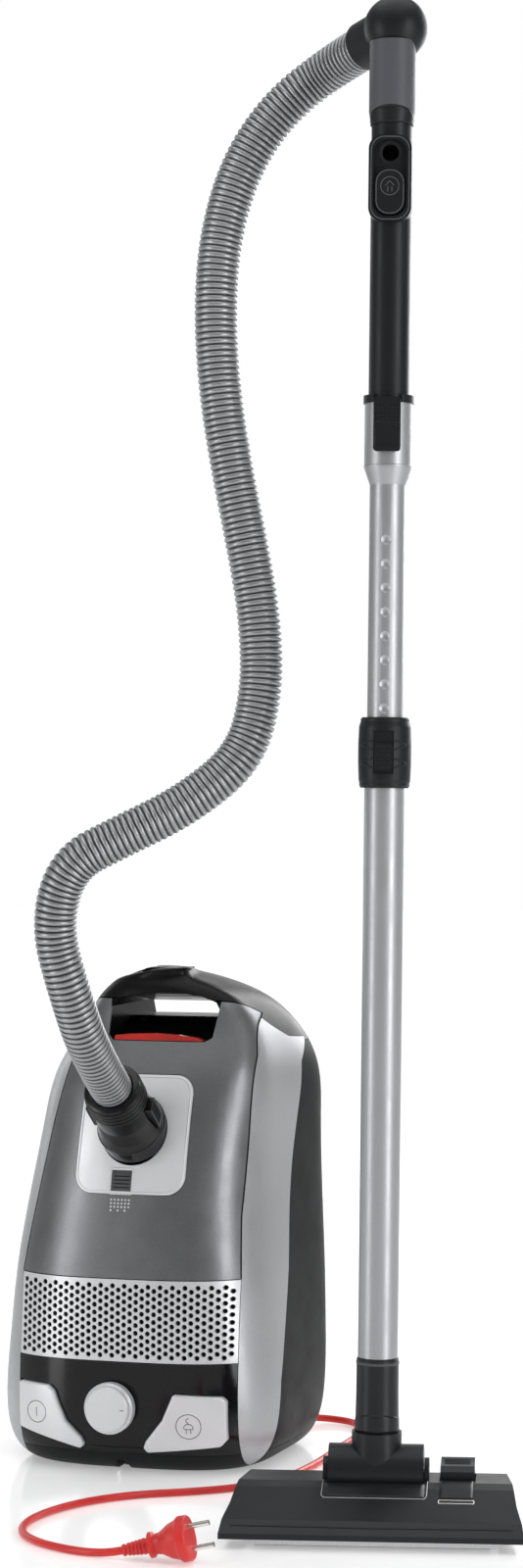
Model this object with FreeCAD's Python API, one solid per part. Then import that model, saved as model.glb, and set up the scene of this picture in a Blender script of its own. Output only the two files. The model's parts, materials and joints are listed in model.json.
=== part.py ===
"""Bagged canister vacuum cleaner parked on its rear end, with hose, wand, floor nozzle and mains cord.

Millimetres.  +Z is up, the canister's grille and controls face -Y, +X is to the right of that face.
The origin is on the floor under the canister's centre.
"""
import FreeCAD
import Part

import math
import os

V = FreeCAD.Vector

# ---- driving dimensions: canister -------------------------------------------------------------
WALL = 3.0                 # moulded wall
SEAM = 0.5                 # gap between neighbouring shells
LID_GAP = 1.2              # gap round the lid
# height, middle, half width, front depth, back depth, how much narrower the front is than the back
BODY_SECTIONS = (
    (0, -10, 110, 82, 108, 0.04), (24, -10, 144, 110, 126, 0.07), (60, -10, 151, 116, 133, 0.08),
    (120, -10, 153, 117, 135, 0.13), (190, -10, 153, 114, 135, 0.19), (260, -9, 151, 101, 134, 0.26),
    (327, -5, 147, 82, 131, 0.29), (380, 0, 139.5, 60, 126, 0.29), (425, 5, 115, 36, 115, 0.28),
    (447, 3, 93, 28, 105, 0.24), (462, -3, 66, 22, 94, 0.20), (470, -7, 42, 18, 80, 0.15),
    (474, -9, 18, 15, 62, 0.10),
)
# side silver / dark housing parting line as (height, y)
SIDE_LINE = ((-10, -56), (45, -48), (84, -42), (188, -5), (293, 25), (385, 54), (410, 80), (450, 110))
# lower edge of the black handle arch above the silver flanks, as (x, height)
ARCH_LINE = ((-200, 376), (-97, 410), (-79, 438), (-60, 445), (68, 445), (93, 432), (112, 411), (200, 376))
# reach of the lid's upper edge from its hinge axis, as (x, radius)
LID_REACH = ((-140, 290), (-76, 281), (-53, 277), (64, 276), (93, 279), (140, 290))
FACE_LEFT = -118.0         # left edge of grille and control panel
FACE_RIGHT = 102.0         # right edge of grille and control panel
BUMPER_TOP = 19.0
PANEL_TOP = 107.5
GRILLE_TOP = 186.0
LID_BOTTOM = 187.0
NOTCH_FLOOR = 409.0        # lid's edge under the handle opening
HANDLE_SEAM = 405.0        # housing to carry handle, at the back
HOLE_R = 2.45              # grille perforation
HOLE_PITCH = 7.35
LID_AXIS = (-113.5, 187.5)  # y, z
KNOB = (-17.0, 64.0)       # x, z
POWER_PIVOT = V(-106, -101.5, 46)
REWIND_PIVOT = V(40, -101.5, 40)
WHEEL_R = 48.0
WHEEL_AT = (97.0, 88.0)    # y, z
WHEEL_X = (-114.0, 94.0)   # centres of the left and right wheels
REEL_AT = (15.0, 96.0)     # y, z
MOTOR_AT = (-62.0, -26.0)  # x, y
CASTER_Z = 372.0
CUFF_BASE = V(-6, -88, 330)
CUFF_DIR = V(0, -math.cos(math.radians(35)), math.sin(math.radians(35)))
CUFF_LENGTH = 70.0
HOSE_R = 20.0
HOSE_BORE = 17.0

# ---- driving dimensions: wand and nozzle -------------------------------------------------------
WAND_FOOT = V(286, -268, 0)
WAND_YAW = 12.0            # degrees about Z, nozzle front turned to the right
WAND_LEAN = 0.66           # degrees sideways
LEAN_PIVOT_Z = 51.0
UPPER_R = 16.0
LOWER_R = 17.75
GRIP_R = 18.0
COLLAR_Z = (656.5, 719.0)
SOCKET_Z = 997.0
GRIP_TOP = 1246.0
BALL_R = 28.5
BALL_AT = V(2, 8, 1332)
NOZZLE_HALF = 132.0

# ---- driving dimensions: cord -------------------------------------------------------------------
CORD_R = 3.5
PLUG_TILT = 13.0
PLUG_YAW = 5.0
PLUG_TAIL = V(112, -450, 7.8)
OUTLET = V(70, 122, 11)    # end face of the cord's bushing


# ---- helpers ------------------------------------------------------------------------------------
def cyl(radius, length, at, direction=V(0, 0, 1)):
    return Part.makeCylinder(radius, length, at, direction)


def tube(outer, inner, length, at, direction=V(0, 0, 1)):
    return cyl(outer, length, at, direction).cut(cyl(inner, length, at, direction))


def box(x0, x1, y0, y1, z0, z1):
    return Part.makeBox(x1 - x0, y1 - y0, z1 - z0, V(x0, y0, z0))


def prism_y(points_xz, y0, y1):
    wire = Part.makePolygon([V(x, y0, z) for x, z in points_xz + points_xz[:1]])
    return Part.Face(wire).extrude(V(0, y1 - y0, 0))


def prism_x(points_yz, x0, x1):
    wire = Part.makePolygon([V(x0, y, z) for y, z in points_yz + points_yz[:1]])
    return Part.Face(wire).extrude(V(x1 - x0, 0, 0))


def rounded(shape, radius, keep):
    """Fillet the edges for which keep(edge) is true."""
    return shape.makeFillet(radius, [e for e in shape.Edges if keep(e)])


def largest(shape):
    return max(shape.Solids, key=lambda solid: solid.Volume)


def along(axis):
    """Edge filter: straight edges parallel to the axis."""
    def test(edge):
        if edge.Curve.TypeId != "Part::GeomLine":
            return False
        return abs(edge.Curve.Direction.dot(axis)) > 0.999
    return test


def rounded_box(x0, x1, y0, y1, z0, z1, radius, axis):
    return rounded(box(x0, x1, y0, y1, z0, z1), radius, along(axis))


def spun(points_rz, at, direction):
    """Solid of revolution from (radius, height) points about a direction through a point."""
    wire = Part.makePolygon([V(r, 0, h) for r, h in points_rz + points_rz[:1]])
    solid = Part.Face(wire).revolve(V(0, 0, 0), V(0, 0, 1), 360)
    solid.Placement = FreeCAD.Placement(at, FreeCAD.Rotation(V(0, 0, 1), direction))
    return solid


def route(points):
    """Straight runs joined by tangent arcs through the given corner points, as one wire."""
    trims = []
    for before, corner, after in zip(points, points[1:], points[2:]):
        run = min((corner - before).Length, (after - corner).Length)
        turn = (corner - before).getAngle(after - corner)
        trims.append((0.45 * run, 0.45 * run / math.tan(turn / 2)))
    edges = []
    last = points[0]
    for i, (trim, radius) in enumerate(trims):
        corner = points[i + 1]
        back = (points[i] - corner).normalize()
        ahead = (points[i + 2] - corner).normalize()
        start = corner + back * trim
        end = corner + ahead * trim
        centre_way = (back + ahead).normalize()
        half = back.getAngle(ahead) / 2
        middle = corner + centre_way * (radius / math.sin(half) - radius)
        edges.append(Part.LineSegment(last, start).toShape())
        edges.append(Part.Arc(start, middle, end).toShape())
        last = end
    edges.append(Part.LineSegment(last, points[-1]).toShape())
    return Part.Wire(edges), [radius for _, radius in trims]


def swept(name, points, radius, bore=0.0):
    """Round cord or hollow hose along a route, with its bend radii and volume reported."""
    wire, bends = route(points)

    def pipe(size):
        profile = Part.Wire([Part.makeCircle(size, points[0], points[1] - points[0])])
        return wire.makePipeShell([profile], True, False)

    solid = pipe(radius)
    if bore:
        solid = solid.cut(pipe(bore))
    volume = math.pi * (radius ** 2 - bore ** 2) * wire.Length
    print(name, "length %.0f" % wire.Length, "least bend %.0f" % min(bends),
          "volume ratio %.4f" % (solid.Volume / volume), "valid", solid.isValid())
    return solid


# ---- canister shell -----------------------------------------------------------------------------
def body_section(z, middle, half, front, back, narrow):
    """Closed curve: boxier at the back, rounder and narrower at the front, rounder still towards the top."""
    soften = min(max((z - 380) / 94, 0), 1)
    points = []
    for i in range(44):
        turn = 2 * math.pi * i / 44
        behind = math.sin(turn) > 0
        power, depth = (5.5 - 2.5 * soften, back) if behind else (3.2 - 0.8 * soften, front)
        reach = (abs(math.cos(turn) / half) ** power + abs(math.sin(turn) / depth) ** power) ** (-1 / power)
        y = reach * math.sin(turn)
        slim = 1 - narrow * (back - y) / (back + front)
        points.append(V(middle + reach * math.cos(turn) * slim, y, z))
    curve = Part.BSplineCurve()
    curve.interpolate(Points=points, PeriodicFlag=True)
    return Part.Wire([curve.toShape()])


def body_form(grow):
    """The canister's outside, grown or shrunk by a distance."""
    wires = []
    for index, (z, middle, half, front, back, narrow) in enumerate(BODY_SECTIONS):
        if index == 0:
            z -= grow
        if index == len(BODY_SECTIONS) - 1:
            z += grow
        wires.append(body_section(z, middle, half + grow, front + grow, back + grow, narrow))
    return Part.makeLoft(wires, True, False)


def lid_zone(gap):
    """Space of the lid: its outline seen from the front, with its upper edge round the hinge axis."""
    outline = prism_y([(-118 - gap, LID_BOTTOM), (101.5 + gap, LID_BOTTOM), (98 + gap, 245), (99 + gap, 316),
                       (99.5 + gap, 396), (93 + gap, 431), (84 + gap, 460), (-80 - gap, 460),
                       (-84 - gap, 390), (-95 - gap, 330), (-106 - gap, 260)], -200, 80)
    y, z = LID_AXIS
    profile = [(x, radius + gap) for x, radius in LID_REACH]
    wire = Part.makePolygon([V(x, y, z + r) for x, r in [(-140, 0)] + profile + [(140, 0), (-140, 0)]])
    reach = Part.Face(wire).revolve(V(0, y, z), V(1, 0, 0), 360)
    return outline.common(reach)


def under_arch(drop):
    """Space of the silver flanks, below the black arch."""
    points = [(x, z - drop) for x, z in ARCH_LINE]
    return prism_y(points + [(200, -20), (-200, -20)], -200, 200)


def side_zone(shift, low):
    """Everything in front of the silver / dark parting line on the flanks."""
    points = [(-200, low)] + [(y + shift, z) for z, y in SIDE_LINE if z > low]
    return prism_x(points + [(-200, 450)], -200, 200)


def wheel_slot(centre):
    return box(centre - 19, centre + 19, 37, 175, 32, 144)


def grille_holes():
    """Staggered columns of round holes, bored front to back."""
    holes = []
    columns = 36
    step = (FACE_RIGHT - FACE_LEFT - 11) / (columns - 1)
    for column in range(columns):
        x = FACE_LEFT + 5.5 + column * step
        for row in range(10 - column % 2):
            z = 113.5 + (row + 0.5 * (column % 2)) * HOLE_PITCH
            holes.append(cyl(HOLE_R, 60, V(x, -130, z), V(0, 1, 0)))
    return Part.makeCompound(holes)


PEDAL_LEFT = [(-116, 83), (-82, 82), (-76, 77), (-71, 64), (-64, 49), (-49, 34), (-46, 27), (-50, 22),
              (-116, 38)]
PEDAL_RIGHT = [(45, 79), (90, 77), (94, 73), (94, 36), (88, 29), (18, 21.5), (14, 26), (17, 33), (34, 54)]


def pedal_blank(points, grow, y0, y1):
    """Pedal outline extruded front to back; grow widens it to make the opening it works in."""
    wire = Part.makePolygon([V(x, y0, z) for x, z in points + points[:1]])
    if grow:
        wire = wire.makeOffset2D(grow)
    return Part.Face(wire).extrude(V(0, y1 - y0, 0))


def canister_shells(parts):
    outer = body_form(0)
    inner = body_form(-WALL)

    def skin(zone):
        return outer.common(zone).cut(inner)

    face = box(FACE_LEFT, FACE_RIGHT, -200, -20, BUMPER_TOP, GRILLE_TOP)
    beyond_face = box(FACE_LEFT - SEAM, FACE_RIGHT + SEAM, -200, 0, -30, LID_BOTTOM + 5)

    # base with the parking pads and a slot for the wand's parking hook; the cord leaves through its back
    zone = box(-200, 200, -200, 200, -1, BUMPER_TOP - SEAM)
    base = skin(zone.cut(side_zone(SEAM, -20).cut(beyond_face)))
    base = base.cut(cyl(6.5, 60, OUTLET - V(0, 30, 0), V(0, 1, 0)))
    base = base.cut(box(-21, -6, -140, -60, -1, 6)).cut(box(-17.5, -9.5, -140, -60, 5, 11))
    parts["base_bumper"] = base

    # dark housing: back and sides, with wheel slots, axle brackets and a boss for the caster's stem
    zone = box(-200, 200, -200, 200, BUMPER_TOP, HANDLE_SEAM - SEAM)
    housing = skin(zone.cut(side_zone(0, -20)).cut(wheel_slot(WHEEL_X[0])).cut(wheel_slot(WHEEL_X[1])))
    for x in (WHEEL_X[0] + 15, WHEEL_X[1] - 23):
        bracket = box(x, x + 8, 88, 160, 76, 100).common(outer)
        housing = housing.fuse(bracket.cut(cyl(5, 30, V(x - 10, WHEEL_AT[0], WHEEL_AT[1]), V(1, 0, 0))))
    boss = cyl(13, 40, V(0, 92, CASTER_Z), V(0, 1, 0)).common(outer)
    parts["lower_housing"] = housing.fuse(boss).cut(cyl(6.05, 70, V(0, 85, CASTER_Z), V(0, 1, 0)))

    # silver flanks
    zone = side_zone(-SEAM, -20).common(under_arch(SEAM)).cut(lid_zone(LID_GAP)).cut(beyond_face)
    parts["side_trim_left"] = largest(skin(zone.common(box(-200, -82, -200, 200, 1.5, 500))))
    parts["side_trim_right"] = largest(skin(zone.common(box(86, 200, -200, 200, 1.5, 500))))

    # control panel with openings for pedals and knob
    panel = skin(face.common(box(-200, 200, -200, 0, 0, PANEL_TOP)))
    for outline in (PEDAL_LEFT, PEDAL_RIGHT):
        panel = panel.cut(pedal_blank(outline, 1.0, -140, -60))
    parts["control_panel"] = panel.cut(cyl(7.1, 80, V(KNOB[0], -140, KNOB[1]), V(0, 1, 0)))

    # perforated outlet grille
    grille = skin(face.common(box(-200, 200, -200, 0, PANEL_TOP + SEAM, GRILLE_TOP)))
    parts["exhaust_grille"] = grille.cut(grille_holes())

    # lid: opening for the inlet plate, notch under the carry handle
    notch = prism_y([(-52, 470), (-48, 414), (-42, NOTCH_FLOOR), (52, NOTCH_FLOOR), (59, 413), (65, 470)],
                    -200, 100)
    plate_hole = rounded_box(-62.7, 49.7, -200, -40, 265.3, 378.7, 18.7, V(0, 1, 0))
    parts["dust_lid"] = skin(lid_zone(0).cut(plate_hole).cut(notch))

    # inlet plate a millimetre proud of the lid, backed by a frame inside
    plate = body_form(1.0).common(rounded_box(-62, 49, -200, -40, 266, 378, 18, V(0, 1, 0)))
    plate = plate.cut(body_form(-2.0)).cut(cyl(33.6, 80, CUFF_BASE + CUFF_DIR * -30, CUFF_DIR))
    parts["inlet_plate"] = plate.cut(box(-24.3, -3.7, -200, -60, 267.7, 288.3))
    window = body_form(0.4).common(box(-24, -4, -200, -60, 268, 288))
    parts["bag_window"] = window.cut(body_form(-1.6))
    frame = inner.common(box(-74, 61, -200, -40, 254, 390)).cut(body_form(-WALL - 2.5))
    parts["lid_seal_frame"] = frame.cut(cyl(33.6, 80, CUFF_BASE + CUFF_DIR * -30, CUFF_DIR))

    # carry handle: hollow arch over the top, and the finger well behind the lid's notch
    arch = outer.common(box(-200, 200, -200, 200, HANDLE_SEAM, 500))
    arch = arch.cut(side_zone(0, 300).common(under_arch(0))).cut(lid_zone(LID_GAP))
    well = prism_x([(-150, 407), (-22, 407), (2, 415), (25, 423.5), (45, 428), (160, 426), (160, 437),
                    (100, 440), (0, 452), (-60, 458), (-150, 462)], -50, 62)
    well = well.common(prism_y([(-50, 400), (-50, 441), (-44, 448), (-30, 453), (-8, 456.5), (20, 456),
                                (45, 451.5), (57, 446), (62, 438), (62, 400)], -150, 160))
    liner = prism_x([(-150, 404), (-21, 404), (3, 412), (26, 420.5), (46, 425), (160, 423), (160, 440),
                     (101, 443), (1, 455), (-59, 461), (-150, 465)], -53, 65)
    hollow = body_form(-WALL - 0.5).common(box(-130, 130, -20, 200, HANDLE_SEAM - 1, 468)).cut(liner)
    handle = arch.fuse(liner.common(body_form(-WALL - 0.6)))
    parts["carry_handle"] = handle.cut(well).cut(hollow)
    lens = prism_y([(-41, 409.8), (50, 409.8), (44, 412.6), (25, 415.2), (0, 416.4), (-25, 415.6), (-41, 413.8)],
                   -100, 0)
    latch = body_form(-0.6).common(lens)
    parts["lid_latch"] = latch.cut(body_form(-9))
    return outer, inner


# ---- canister controls and insides ----------------------------------------------------------------
def controls(parts, outer):
    # pedals stand proud of the panel and follow its curve
    front = body_form(5.0)
    behind = body_form(-6.0)
    for name, outline, pivot, width in (("power_pedal", PEDAL_LEFT, POWER_PIVOT, 34),
                                        ("rewind_pedal", PEDAL_RIGHT, REWIND_PIVOT, 44)):
        blank = rounded(pedal_blank(outline, 0, -160, -40), 3, along(V(0, 1, 0)))
        pedal = front.common(blank).cut(behind)
        face = min((f for f in pedal.Faces if f.Area > 500), key=lambda f: f.CenterOfMass.y)
        pedal = pedal.makeFillet(2.2, face.Edges)
        parts[name] = pedal.fuse(cyl(2.5, width, pivot, V(1, 0, 0)))
    x, z = KNOB
    knob = spun([(0, 0), (6, 0), (6, 12), (24.5, 12), (24.5, 20), (22.5, 22), (21.5, 22),
                 (21.5, 25), (20.5, 26), (0, 26)], V(x, -106.5, z), V(0, -1, 0))
    parts["power_knob"] = knob


def insides(parts, inner):
    plate = body_form(-WALL - 0.3).common(box(-200, 200, -200, 200, 190, 194))
    front_room = box(-130, 130, -200, -100, 189, 195)
    parts["bulkhead"] = plate.cut(front_room).cut(cyl(38, 10, V(MOTOR_AT[0], MOTOR_AT[1], 188)))

    mx, my = MOTOR_AT
    case = tube(58, 54, 108, V(mx, my, 42)).fuse(tube(54, 10, 4, V(mx, my, 42)))
    parts["motor_housing"] = case.fuse(tube(54, 40, 4, V(mx, my, 60)))
    # stator with two end plates carrying the shaft's bearings
    stator = tube(40, 31, 60, V(mx, my, 52))
    for z in (52, 108):
        stator = stator.fuse(tube(40, 4.05, 4, V(mx, my, z)))
    parts["motor"] = stator
    # shaft with rotor and fan wheel
    fan = cyl(4, 72, V(mx, my, 47)).fuse(cyl(29, 44, V(mx, my, 60)))
    fan = fan.fuse(cyl(50, 3, V(mx, my, 122))).fuse(cyl(9, 16, V(mx, my, 119)))
    for blade in range(8):
        fin = box(10, 48, -0.8, 0.8, 125, 135)
        fin.rotate(V(0, 0, 0), V(0, 0, 1), 45 * blade)
        fin.translate(V(mx, my, 0))
        fan = fan.fuse(fin)
    parts["motor_fan"] = fan
    parts["motor_filter"] = rounded_box(mx - 50, mx + 50, my - 50, my + 50, 164, 186, 8, V(0, 0, 1))
    parts["exhaust_filter"] = rounded_box(-72, 64, -98, -88, 112, 182, 6, V(0, 1, 0))

    ry, rz = REEL_AT
    drum = cyl(28, 34, V(27, ry, rz), V(1, 0, 0))
    for x in (27, 58):
        drum = drum.fuse(cyl(66, 3, V(x, ry, rz), V(1, 0, 0)))
    parts["cord_reel"] = drum.cut(cyl(6.05, 60, V(10, ry, rz), V(1, 0, 0)))
    coil = tube(60, 28, 28, V(30, ry, rz), V(1, 0, 0))
    parts["reel_cord"] = coil
    parts["reel_axle"] = cyl(6, 46, V(20, ry, rz), V(1, 0, 0)).fuse(
        cyl(12, 5, V(20, ry, rz), V(1, 0, 0)))

    parts["bag_holder"] = box(-45, 45, -48, -42, 194, 360).cut(
        cyl(26, 30, V(0, -60, 322), V(0, 1, 0)))
    bag = rounded_box(-82, 82, -38, 80, 200, 368, 30, V(0, 1, 0)).fuse(
        cyl(25, 14, V(0, -52, 322), V(0, 1, 0)))
    room = rounded_box(-80, 80, -36, 78, 202, 366, 28, V(0, 1, 0))
    parts["dust_bag"] = bag.cut(room).cut(cyl(20, 30, V(0, -60, 322), V(0, 1, 0)))


def running_gear(parts):
    y, z = WHEEL_AT
    for name, centre in zip(("wheel_left", "wheel_right"), WHEEL_X):
        wheel = spun([(0, -13), (40, -13), (44, -12), (WHEEL_R, -9), (WHEEL_R, 9), (44, 12),
                      (40, 13), (0, 13)], V(centre, y, z), V(1, 0, 0))
        parts[name] = wheel.cut(cyl(5.05, 40, V(centre - 20, y, z), V(1, 0, 0)))
    parts["wheel_axle"] = cyl(5, 236, V(-128, y, z), V(1, 0, 0))

    # caster: stem in the housing's boss, fork arms trailing down, small wheel on its pin
    fork = cyl(6, 33, V(0, 98, CASTER_Z), V(0, 1, 0)).fuse(cyl(20, 3, V(0, 130.4, CASTER_Z), V(0, 1, 0)))
    for x in (-11, 8):
        arm = prism_x([(132, CASTER_Z + 6), (132, CASTER_Z - 16), (146, CASTER_Z - 24),
                       (152, CASTER_Z - 14), (146, CASTER_Z - 4)], x, x + 3)
        fork = fork.fuse(arm)
    fork = fork.fuse(cyl(2, 21, V(-10.5, 146, CASTER_Z - 14), V(1, 0, 0)))
    parts["caster_fork"] = fork
    wheel = cyl(11, 14, V(-7, 146, CASTER_Z - 14), V(1, 0, 0))
    parts["caster_wheel"] = wheel.cut(cyl(2.05, 20, V(-10, 146, CASTER_Z - 14), V(1, 0, 0)))


# ---- hose -----------------------------------------------------------------------------------------
def hose_parts(parts):
    end = CUFF_BASE + CUFF_DIR * CUFF_LENGTH
    cuff = spun([(21, -12), (33, -12), (33, 6), (31, 14), (28, 30), (28, CUFF_LENGTH), (21, CUFF_LENGTH)],
                CUFF_BASE, CUFF_DIR)
    room = []
    for side, name in ((-1, "cuff_button_left"), (1, "cuff_button_right")):
        turn = FreeCAD.Rotation(V(0, 0, 1), CUFF_DIR)
        room.append(box(25, 40, -9, 9, 12, 46))
        button = rounded(box(26.5, 33, -8, 8, 13, 45), 2, along(V(1, 0, 0)))
        for shape in (room[-1], button):
            shape.rotate(V(0, 0, 0), V(0, 0, 1), 0 if side > 0 else 180)
            shape.Placement = FreeCAD.Placement(CUFF_BASE, turn).multiply(shape.Placement)
        parts[name] = button
    # the cuff's local x axis lies along the canister's width once its axis is turned out
    parts["hose_cuff"] = cuff.cut(Part.makeCompound(room))

    ball = wand_point(BALL_AT)
    neck = ball + V(-0.765, 0.624, -0.160).normalize() * 46
    last = neck + (neck - ball).normalize() * 46
    corners = [end, V(0, -158, 370) + V(-6, -50, 40), V(-10, -250, 466), V(-22, -268, 530),
               V(-5, -271, 587), V(42, -258, 612), V(96, -236, 640), V(146, -212, 684),
               V(160, -203, 745), V(158, -203, 812), V(147, -207, 880), V(134, -213, 950),
               V(124, -218, 1020), V(120, -220, 1090), V(124, -218, 1160), V(142, -212, 1226),
               V(178, -204, 1280), last, neck]
    cuts = (6, 10, 14)
    start = 0
    opening = []
    for number, cut in enumerate(cuts + (len(corners),), 1):
        run = opening + corners[start:cut]
        if cut < len(corners):
            middle = (corners[cut - 1] + corners[cut]) * 0.5
            run.append(middle)
            opening = [middle]
        start = cut
        parts["hose_%d" % number] = swept("hose_%d" % number, run, HOSE_R, HOSE_BORE)


# ---- wand -------------------------------------------------------------------------------------------
def wand_lean():
    return FreeCAD.Placement(V(0, 0, 0), FreeCAD.Rotation(V(0, 1, 0), WAND_LEAN), V(0, 0, LEAN_PIVOT_Z))


def nozzle_placement():
    return FreeCAD.Placement(WAND_FOOT, FreeCAD.Rotation(V(0, 0, 1), WAND_YAW))


def wand_placement():
    return nozzle_placement().multiply(wand_lean())


def wand_point(point):
    return wand_placement().multVec(point)


def wand(parts):
    made = {}
    # nozzle neck: swivels in the barrel's socket, holds the lower tube
    neck = spun([(15, 72), (18.4, 72), (18.4, 86.2), (19.5, 86.2), (18.8, 120), (18.8, 150),
                 (17.6, 152), (15, 152)], V(0, 0, 0), V(0, 0, 1))
    made["nozzle_neck"] = neck
    made["lower_tube"] = tube(LOWER_R, 16.6, 548, V(0, 0, 152))
    collar = spun([(LOWER_R, COLLAR_Z[0]), (21.5, COLLAR_Z[0]), (23.0, 664), (23.6, 680), (23.6, 696),
                   (23.0, 711), (20.5, COLLAR_Z[1]), (16.4, COLLAR_Z[1]), (16.4, 701), (LOWER_R, 700)],
                  V(0, 0, 0), V(0, 0, 1))
    slot = box(-9, 9, -30, -20.5, 669, 707)
    made["telescope_collar"] = collar.cut(slot)
    button = rounded(box(-8.4, 8.4, -24.2, -21, 672, 696), 3, along(V(0, 1, 0)))
    made["collar_slider"] = button

    upper = spun([(15.1, 500), (UPPER_R, 500), (UPPER_R, 925), (21.2, 940), (21.2, SOCKET_Z),
                  (18.3, SOCKET_Z), (18.3, 941), (15.1, 925)], V(0, 0, 0), V(0, 0, 1))
    for count in range(8):
        z = 727 + 21.24 * count
        dimple = Part.makeSphere(7.5, V(0, -UPPER_R - 6.1, z))
        upper = upper.cut(dimple)
    made["upper_tube"] = upper.cut(box(-8.5, 8.5, -30, -10, 955, 999))
    made["socket_flange"] = tube(22.4, GRIP_R + 0.3, 7, V(0, 0, SOCKET_Z)).cut(
        box(-12.6, 12.6, -30, -15, 990, 1010))
    release = rounded_box(-12, 12, -27.5, -22.8, 953, 1001, 3, V(0, 1, 0))
    release = release.fuse(box(-8, 8, -23, -20.6, 962, 996))
    made["tube_release"] = release

    # grip: hollow handle plugged into the socket, flattened recess for vent and suction slider
    grip = spun([(14, 945), (18.2, 945), (18.2, SOCKET_Z + 7.4), (GRIP_R, SOCKET_Z + 8), (GRIP_R, GRIP_TOP),
                 (14, GRIP_TOP)], V(0, 0, 0), V(0, 0, 1))
    pod = rounded_box(-19, 19, -23, -4, 1156, 1232, 12, V(0, 1, 0))
    pod = pod.cut(cyl(14, 400, V(0, 0, 900)))
    grip = grip.fuse(pod)
    track = rounded_box(-14.5, 14.5, -30, -18.5, 1160, 1228, 12, V(0, 1, 0))
    vent = cyl(8, 20, V(0, -30, 1217), V(0, 1, 0))
    made["handle_grip"] = grip.cut(track).cut(vent)
    made["suction_slider"] = rounded_box(-13, 13, -25, -18.8, 1161.5, 1201.5, 12, V(0, 1, 0))
    sleeve = spun([(14, GRIP_TOP), (18.8, GRIP_TOP), (20.5, 1256), (20.5, 1318), (14, 1318)],
                  V(0, 0, 0), V(0, 0, 1))
    away = wand_placement().inverse().Rotation.multVec(V(-0.765, 0.624, -0.160).normalize())
    ball = Part.makeSphere(BALL_R, BALL_AT).fuse(cyl(22.5, 46, BALL_AT, away))
    made["hose_ball"] = ball.cut(cyl(20.5, 20, V(0, 0, 1298)))
    made["handle_neck"] = sleeve.cut(ball)

    # nozzle: barrel tilts between the cover's cheeks, its socket takes the neck
    socket = cyl(22.2, 46, V(0, 0, 40))
    bore = cyl(18.5, 60, V(0, 0, 71.9)).fuse(cyl(15, 40, V(0, 0, 45)))
    for shape in (socket, bore):
        shape.Placement = wand_lean().multiply(shape.Placement)
    barrel = cyl(23.5, 84, V(-42, 0, 51), V(1, 0, 0)).fuse(socket).cut(bore)
    barrel = barrel.cut(cyl(4.05, 120, V(-60, 0, 51), V(1, 0, 0)))
    parts["nozzle_barrel"] = barrel
    for name, shape in made.items():
        shape.Placement = wand_placement().multiply(shape.Placement)
        parts[name] = shape


def nozzle(parts):
    made = {"nozzle_barrel": parts["nozzle_barrel"]}
    half = NOZZLE_HALF
    profile = [(-98, 9), (-98, 14), (-86, 24), (-34, 42), (-20, 45), (34, 43), (44, 34), (44, 9)]
    cover = prism_x(profile, -half, half)
    wedge = [(-half, -98), (-half + 7, -60), (-half + 18, 44), (-400, 44), (-400, -98)]
    for sign in (-1, 1):
        corner = Part.Face(Part.makePolygon([V(-sign * x, y, 0) for x, y in wedge + wedge[:1]]))
        cover = cover.cut(corner.extrude(V(0, 0, 80)))
    inside = prism_x([(-94, 5), (-94, 12), (-84, 21), (-33, 39), (-20, 42), (33, 40), (41, 32), (41, 5)],
                     -half + 21, half - 21)
    cover = cover.cut(inside)
    bay = box(-43, 43, -25, 60, 5, 80)
    rim = cyl(25, 86, V(-43, 0, 51), V(1, 0, 0))
    cover = cover.cut(bay).cut(rim).cut(box(56, 88, -14, 30, 30, 60))
    for x in (-47, 43):
        cheek = cyl(12, 4, V(x, 0, 51), V(1, 0, 0)).fuse(box(x, x + 4, -12, 12, 30, 51))
        cover = cover.fuse(cheek)
    cover = cover.cut(cyl(3.05, 35, V(54.5, 6, 39), V(1, 0, 0)))
    made["nozzle_cover"] = cover.cut(cyl(4.05, 120, V(-60, 0, 51), V(1, 0, 0)))
    made["tilt_pin"] = cyl(4, 94, V(-47, 0, 51), V(1, 0, 0))

    sole = prism_x([(-93, 4), (-93, 8.2), (40, 8.2), (40, 4)], -half + 22, half - 22)
    sole = sole.cut(box(-90, 90, -58, -34, 0, 20))
    for y in (-76, -22):
        sole = sole.cut(box(-104, 104, y - 3, y + 3, 0, 20))
    for side in (-1, 1):
        sole = sole.cut(box(side * 84 - 9, side * 84 + 9, 14, 38, 0, 20))
    made["nozzle_sole"] = sole

    bridge = box(-100, 100, -77.5, -20, 14.5, 16).cut(box(-96, 96, -70, -28, 10, 20))
    for y in (-76, -22):
        bridge = bridge.fuse(box(-102, 102, y - 2.2, y + 2.2, 0.4, 16))
    made["brush_strips"] = bridge
    rollers = cyl(2.4, 186, V(-93, 26, 11), V(1, 0, 0))
    for side in (-1, 1):
        rollers = rollers.fuse(cyl(10.6, 14, V(side * 84 - 7, 26, 11), V(1, 0, 0)))
    made["nozzle_rollers"] = rollers

    rocker = prism_x([(-12, 36), (-13, 53), (-6, 57), (8, 58), (20, 60), (26, 57), (27, 36)], 57, 87)
    made["nozzle_pedal"] = rocker.cut(box(56, 88, -9, 23, 30, 50)).fuse(cyl(3, 34, V(55, 6, 39), V(1, 0, 0)))
    for name, shape in made.items():
        shape.Placement = nozzle_placement().multiply(shape.Placement)
        parts[name] = shape


# ---- cord and plug ------------------------------------------------------------------------------------
def plug_axis():
    tilt = math.radians(PLUG_TILT)
    yaw = math.radians(PLUG_YAW)
    return V(math.cos(tilt) * math.cos(yaw), math.cos(tilt) * math.sin(yaw), math.sin(tilt))


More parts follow.
